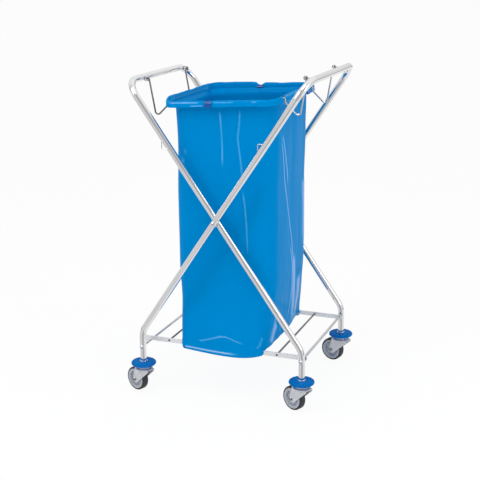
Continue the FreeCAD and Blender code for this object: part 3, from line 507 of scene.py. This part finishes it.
def wall_row(height):
    """One row of the wall: its points and the painted sheen on each, from its creases and sheen zones."""
    rows, sheen = [], []
    room = HEM_FACE + 0.0002
    loose = smooth(0.002, 0.02, RING_CENTRE.z - height)
    tuck = EYE_BULGE * smooth(RING_CENTRE.z - 0.011, RING_CENTRE.z - 0.004, height)
    taper = (BACK_TAPER + FOOT_TAPER * smooth(0.30, 0.17, height)) * smooth(0.88, 0.80, height)
    for flat, normal in around(*section(height)):
        push = wrinkle(flat, height) * loose
        ridge_and_sheen = 0.0
        # The creases and sheen zones push the film out and give it painted highlights.
        if normal.y < -0.8:
            ridge_and_sheen = 0.72 * crease_at(flat.x, height, FRONT_CREASES, FRONT_CREASE_WIDTH)
        elif normal.x > 0.35:
            ridge_and_sheen = 0.95 * crease_at(flat.y, height, RIGHT_CREASES, RIGHT_CREASE_WIDTH)
            ridge_and_sheen = max(ridge_and_sheen, 0.86 * crease_at(flat.y, height, RIGHT_SHEEN_ZONES, SHEEN_ZONE_WIDTH) ** 0.5)
        push += ridge_and_sheen * CREASE_DEPTH * loose - tuck * eye_share(flat, normal)
        out = flat + normal * push
        if flat.x > 0.1:
            out.x -= taper * smooth(0.0, 0.16, flat.y)
        out.y = min(max(out.y, -room), room)
        rows.append(in_bag(out, height))
        sheen.append(ridge_and_sheen)
    return rows, sheen


def film_crest(flat):
    """How far the loose film stands up over the ring: not at all where a clip grips it."""
    grip = 0.0
    for place in GRIPS:
        grip = max(grip, math.exp(-((flat - place).length / GRIP_REACH) ** 2))
    back = smooth(-RING_HALF.y, -RING_HALF.y * 0.7, flat.y)
    far = between(BACK_CREST, LEFT_CREST, smooth(0.07, -0.07, flat.x))
    return between(FRONT_CREST, far, back) * (1 - grip) * (0.9 + 0.2 * noise.noise(flat.to_3d() * 22))


# Painted highlight lines where light is caught by the fold over the ring: side, part, row of that part,
# start, end and strength

SHINE_LINES = (
    ("front", "fold", 1, -0.160, -0.055, 1.0), ("front", "fold", 1, -0.020, 0.052, 0.72),
    ("front", "fold", 4, 0.020, 0.150, 0.46), ("front", "lip", 3, -0.092, -0.042, 1.0),
    ("front", "fold", 1, 0.098, 0.122, 0.90), ("left", "fold", 7, -0.150, 0.150, 0.48),
    ("right", "fold", 2, -0.150, 0.060, 0.72), ("right", "fold", 6, -0.150, 0.120, 0.62),
    ("right", "lip", 4, -0.150, 0.140, 0.50),
)


def shine(flat, normal, kind, row):
    """Painted highlight on the fold where a shine line runs, broken up a little along its length."""
    strongest = 0.0
    for side, part, line_row, start, end, strength in SHINE_LINES:
        if part != kind or line_row != row:
            continue
        faces = {"front": -normal.y, "left": -normal.x, "right": normal.x}[side]
        along = flat.x if side == "front" else flat.y
        if faces < 0.6 or not start < along < end:
            continue
        ends = smooth(start, start + 0.012, along) * smooth(end, end - 0.012, along)
        broken = 0.85 + 0.3 * noise.noise(Vector((along * 90, line_row * 5.0, 1.0)))
        strongest = max(strongest, strength * ends * broken)
    return min(strongest, 1.0)


def film_rows():
    """Rows of the sheet from the loose outer edge, over the ring and down the wall, with their painted
    sheen.
    """
    made = []
    lip = around(RING_HALF.x, RING_HALF.y, RING_CORNER)

    def over_ring(kind, step, angle, drop, flare):
        row, sheen = [], []
        for flat, normal in lip:
            wave = noise.noise(Vector((flat.x * 30, flat.y * 30, 3.0)))
            bulge = EYE_BULGE * eye_share(flat, normal)
            offset = (LIP_OFFSET + bulge) * math.cos(angle) + flare * (0.7 + 0.9 * wave)
            crest = (LIP_OFFSET + max(film_crest(flat), bulge)) * math.sin(angle)
            row.append(in_ring(flat + normal * offset, crest - drop * (1 + 0.14 * wave)))
            sheen.append(shine(flat, normal, kind, step))
        return row, sheen

    for step in range(LIP_ROWS, 0, -1):
        share = step / LIP_ROWS
        made.append(over_ring("lip", step, 0.0, LIP_DROP * share, 0.0018 * share ** 2))
    for step in range(FOLD_ROWS):
        made.append(over_ring("fold", step, math.pi * step / (FOLD_ROWS - 1), 0.0, 0.0))
    top = RING_CENTRE.z - 0.001
    for step in range(WALL_ROWS):
        made.append(wall_row(between(top, LOW_FROM, step / WALL_ROWS)))
    for step in range(LOW_ROWS + 1):
        made.append(wall_row(between(LOW_FROM, SHELF_TOP + 0.006, step / LOW_ROWS)))
    return made


def base_height(x, y):
    """The base rests on the rods and sags a little between them."""
    sag = math.sin(math.pi * min(abs(x - ROD_PLACE) / ROD_PITCH, 1.0)) ** 2
    edge = smooth(0.172, 0.150, abs(y))
    return SHELF_TOP + 0.0014 - 0.0105 * sag * edge


def hem_rows(last_row):
    """From the wall's foot: down the fold outside each bar, back up behind it, then under the base."""
    made = []
    foot = [Vector((p.x, p.y)) for p in last_row]
    for step in range(1, HEM_ROWS + 1):
        share = step / HEM_ROWS
        row, sheen = [], []
        for flat in foot:
            across = flat.x - RING_CENTRE.x
            hangs = smooth(FOOT_HALF_LENGTH + 0.0005, FOOT_HALF_LENGTH - 0.012, abs(across))
            hangs *= smooth(HEM_FACE - 0.02, HEM_FACE - 0.004, abs(flat.y))
            lowest = between(base_height(flat.x, 0.0) + 0.004, hem_height(across), hangs)
            row.append(Vector((flat.x, flat.y, between(last_row[0].z, lowest, share))))
            # Painted highlight along the front of the hem's fold, two rows above its lowest row.
            lit = smooth(-0.140, -0.128, across) * smooth(0.060, 0.020, across)
            sheen.append(HEM_SHINE * lit if step == HEM_ROWS - 2 and flat.y < 0 else 0.0)
        made.append((row, sheen))
    bottom = made[-1][0]

    def behind(depth, rise):
        row = []
        for flat, low in zip(foot, bottom):
            hangs = smooth(HEM_FACE - 0.02, HEM_FACE - 0.004, abs(flat.y))
            y = between(flat.y * (1 - depth * 2), math.copysign(HEM_BACK, flat.y), hangs)
            x = RING_CENTRE.x + (flat.x - RING_CENTRE.x) * (1 - depth * between(1.0, 0.3, hangs))
            top = base_height(x, y)
            row.append(Vector((x, y, between(low.z - 0.0005 * (1 - rise), top, rise))))
        return row

    plain = [0.0] * len(foot)
    for depth, rise in ((0.004, 0.0), (0.007, 0.35), (0.011, 0.8), (0.014, 1.0)):
        made.append((behind(depth, rise), plain))
    inner = made[-1][0]
    for ring in range(1, BASE_RINGS):
        scale = 1 - ring / BASE_RINGS
        row = []
        for p in inner:
            x, y = p.x * scale, p.y * scale
            lift = smooth(0.0, 0.25, 1 - scale)
            row.append(Vector((x, y, between(p.z, base_height(x, y), lift))))
        made.append((row, plain))
    return made


def in_notch(point, level):
    """Whether a point of the film is in a slit for a hanger.

    The slits are short on the left. On the right, where the hangers swing, they run over the ring."""
    flat = RING_TURN.transposed() @ (point - RING_CENTRE)
    aside = abs(abs(flat.y) - NOTCH_SPREAD)
    if flat.x > 0:
        return level < SWING_ROWS and aside < SWING_HALF and RING_HALF.x - flat.x < 3 * LIP_OFFSET
    return level < NOTCH_ROWS and aside < NOTCH_HALF and RING_HALF.x + flat.x < LIP_OFFSET


def shell_object(name, rows, sheen_rows, thickness):
    """Mesh of closed rows, joined to their neighbours, with an attribute of painted sheen and a thin wall.
    """
    count = len(rows[0])
    points = [point for row in rows for point in row]
    faces = []
    for level in range(len(rows) - 1):
        for index in range(count):
            after = (index + 1) % count
            if in_notch((rows[level][index] + rows[level][after]) / 2, level):
                continue
            faces.append((level * count + index, (level + 1) * count + index,
                          (level + 1) * count + after, level * count + after))
    last = (len(rows) - 1) * count
    middle = len(points)
    centre = sum(rows[-1], Vector()) / count
    points.append(centre)
    for index in range(count):
        faces.append((last + index, middle, last + (index + 1) % count))
    mesh = bpy.data.meshes.new(name)
    mesh.from_pydata(points, [], faces)
    painted_sheen = mesh.attributes.new("painted_sheen", "FLOAT", "POINT")
    values = [value for row in sheen_rows for value in row] + [0.0]
    painted_sheen.data.foreach_set("value", values)
    mesh.shade_smooth()
    made = bpy.data.objects.new(name, mesh)
    scene.collection.objects.link(made)
    wall = made.modifiers.new("film", "SOLIDIFY")
    wall.thickness = thickness
    wall.offset = 0.0
    return made


def make_bag(material):
    wall = film_rows()
    sheet = wall + hem_rows(wall[-1][0])
    rows = [row for row, sheen in sheet]
    sheen_rows = [sheen for row, sheen in sheet]
    bag = shell_object("bag_film", rows, sheen_rows, FILM_THICKNESS)
    bag.data.materials.append(material)
    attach(bag, "ring_and_bag")
    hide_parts("waste_bag")


# Studio: a pale floor, a white surround and soft lamps

FLOOR_GLOW = 0.91
FLOOR_HALF = 60.0
PLAIN_LIGHT = 0.74


def make_floor():
    """White floor that keeps the shadow. Metal sees the studio through it."""
    half = FLOOR_HALF
    mesh = bpy.data.meshes.new("floor")
    corners = [(-half, -half, 0), (half, -half, 0), (half, half, 0), (-half, half, 0)]
    mesh.from_pydata(corners, [], [(0, 1, 2, 3)])
    floor = bpy.data.objects.new("floor", mesh)
    scene.collection.objects.link(floor)
    shader = Shader("floor_white").set(roughness=0.9, specular_ior_level=0.1)
    shader.colour(shader.mixed(shader.noise(1.5), linear(247, 247, 247), linear(250, 250, 250)))
    glow = shader.node("ShaderNodeEmission")
    glow.inputs["Color"].default_value = (1, 1, 1, 1)
    path = shader.node("ShaderNodeLightPath")
    share = shader.node("ShaderNodeMath", operation="MULTIPLY")
    share.inputs[1].default_value = FLOOR_GLOW
    shader.link(path.outputs["Is Camera Ray"], share.inputs[0])
    blend = shader.node("ShaderNodeMixShader")
    shader.link(share.outputs[0], blend.inputs["Fac"])
    shader.link(shader.base.outputs["BSDF"], blend.inputs[1])
    shader.link(glow.outputs["Emission"], blend.inputs[2])
    clear = shader.node("ShaderNodeBsdfTransparent")
    shown = shader.node("ShaderNodeMixShader")
    shader.link(path.outputs["Is Glossy Ray"], shown.inputs["Fac"])
    shader.link(blend.outputs["Shader"], shown.inputs[1])
    shader.link(clear.outputs["BSDF"], shown.inputs[2])
    shader.link(shown.outputs["Shader"], shader.output.inputs["Surface"])
    mesh.materials.append(shader.material)


ROOM_BANDS = ((-1, 0.88), (-0.82, 0.52), (-0.70, 0.58), (-0.50, 0.92), (-0.42, 0.80), (-0.30, 0.64),
              (-0.12, 0.62), (0.02, 0.72), (0.13, 0.52), (0.20, 0.32), (0.30, 0.48), (0.37, 0.28),
              (0.43, 0.46), (0.56, 0.56), (0.68, 0.46), (0.84, 0.56), (0.93, 0.95), (1, 0.95))
BACKDROP_BANDS = ((-1, 0.90), (-0.16, 0.88), (-0.10, 0.20), (-0.06, 0.24), (-0.02, 0.80), (0.20, 0.72),
                  (0.36, 0.92), (1, 0.95))


def make_world():
    """White to the camera, a studio with a dim wall behind the camera to metal, plain light to the rest."""
    world = bpy.data.worlds.new("studio")
    scene.world = world
    world.use_nodes = True
    tree = world.node_tree
    tree.nodes.clear()
    output = tree.nodes.new("ShaderNodeOutputWorld")

    def background(colour, strength):
        made = tree.nodes.new("ShaderNodeBackground")
        made.inputs["Color"].default_value = colour
        made.inputs["Strength"].default_value = strength
        return made

    seen = background((1, 1, 1, 1), 1.0)
    plain = background((1, 1, 1, 1), PLAIN_LIGHT)
    studio = background((1, 1, 1, 1), 1.0)
    direction = tree.nodes.new("ShaderNodeTexCoord")
    axes = tree.nodes.new("ShaderNodeSeparateXYZ")
    tree.links.new(direction.outputs["Generated"], axes.inputs[0])

    def bands(socket, stops):
        """Grey bands along one axis of the direction, from -1 to 1."""
        share = tree.nodes.new("ShaderNodeMapRange")
        share.inputs["From Min"].default_value = -1.0
        tree.links.new(socket, share.inputs["Value"])
        made = tree.nodes.new("ShaderNodeValToRGB")
        ends = made.color_ramp.elements
        ends[0].position, ends[1].position = 0.0, 1.0
        ends[0].color = (stops[0][1],) * 3 + (1,)
        ends[1].color = (stops[-1][1],) * 3 + (1,)
        for place, value in stops[1:-1]:
            ends.new((place + 1) / 2).color = (value,) * 3 + (1,)
        tree.links.new(share.outputs["Result"], made.inputs["Fac"])
        return made.outputs["Color"]

    def layered(socket, start, end, first, second):
        """One picture that gives way to another between two values of an axis."""
        share = tree.nodes.new("ShaderNodeMapRange")
        share.inputs["From Min"].default_value = start
        share.inputs["From Max"].default_value = end
        tree.links.new(socket, share.inputs["Value"])
        made = tree.nodes.new("ShaderNodeMix")
        made.data_type = "RGBA"
        tree.links.new(share.outputs["Result"], made.inputs[0])
        tree.links.new(first, made.inputs[6])
        tree.links.new(second, made.inputs[7])
        return made.outputs[2]

    room = bands(axes.outputs["X"], ROOM_BANDS)
    backdrop = bands(axes.outputs["Z"], BACKDROP_BANDS)
    near_floor = bands(axes.outputs["X"], ((-1, 0.85), (1, 0.85)))
    seen_around = layered(axes.outputs["Z"], -0.62, -0.76, room, near_floor)
    picture = layered(axes.outputs["Y"], -0.25, 0.05, seen_around, backdrop)
    tree.links.new(picture, studio.inputs["Color"])

    path = tree.nodes.new("ShaderNodeLightPath")
    shiny = tree.nodes.new("ShaderNodeMath")
    shiny.operation = "MAXIMUM"
    tree.links.new(path.outputs["Is Glossy Ray"], shiny.inputs[0])
    tree.links.new(path.outputs["Is Transmission Ray"], shiny.inputs[1])
    lit = tree.nodes.new("ShaderNodeMixShader")
    tree.links.new(shiny.outputs[0], lit.inputs["Fac"])
    tree.links.new(plain.outputs[0], lit.inputs[1])
    tree.links.new(studio.outputs[0], lit.inputs[2])
    shown = tree.nodes.new("ShaderNodeMixShader")
    tree.links.new(path.outputs["Is Camera Ray"], shown.inputs["Fac"])
    tree.links.new(lit.outputs[0], shown.inputs[1])
    tree.links.new(seen.outputs[0], shown.inputs[2])
    tree.links.new(shown.outputs[0], output.inputs["Surface"])


def make_lamp(name, place, target, size, power, on_gloss_only=False):
    data = bpy.data.lights.new(name, "AREA")
    data.shape = "RECTANGLE"
    data.size, data.size_y = size
    data.energy = power
    lamp = bpy.data.objects.new(name, data)
    lamp.location = place
    lamp.rotation_euler = (Vector(target) - Vector(place)).to_track_quat("-Z", "Y").to_euler()
    lamp.visible_diffuse = not on_gloss_only
    scene.collection.objects.link(lamp)


def make_lights():
    middle = (0.0, 0.0, 0.5)
    make_lamp("key_softbox", (-1.6, -2.4, 2.6), middle, (1.2, 1.8), 22.0)
    make_lamp("side_softbox", (2.6, -0.6, 1.6), middle, (0.7, 1.8), 14.0)
    make_lamp("top_softbox", (0.2, -1.2, 3.1), middle, (1.2, 1.2), 16.0)
    make_lamp("glint_lamp", (-1.2, -2.4, 2.9), middle, (0.3, 0.3), 60.0, on_gloss_only=True)


make_camera()
make_world()
make_floor()
make_lights()
materials = make_materials()
dress_nodes(materials)
make_bag(materials["bag_blue"])

scene.view_settings.view_transform = "Standard"
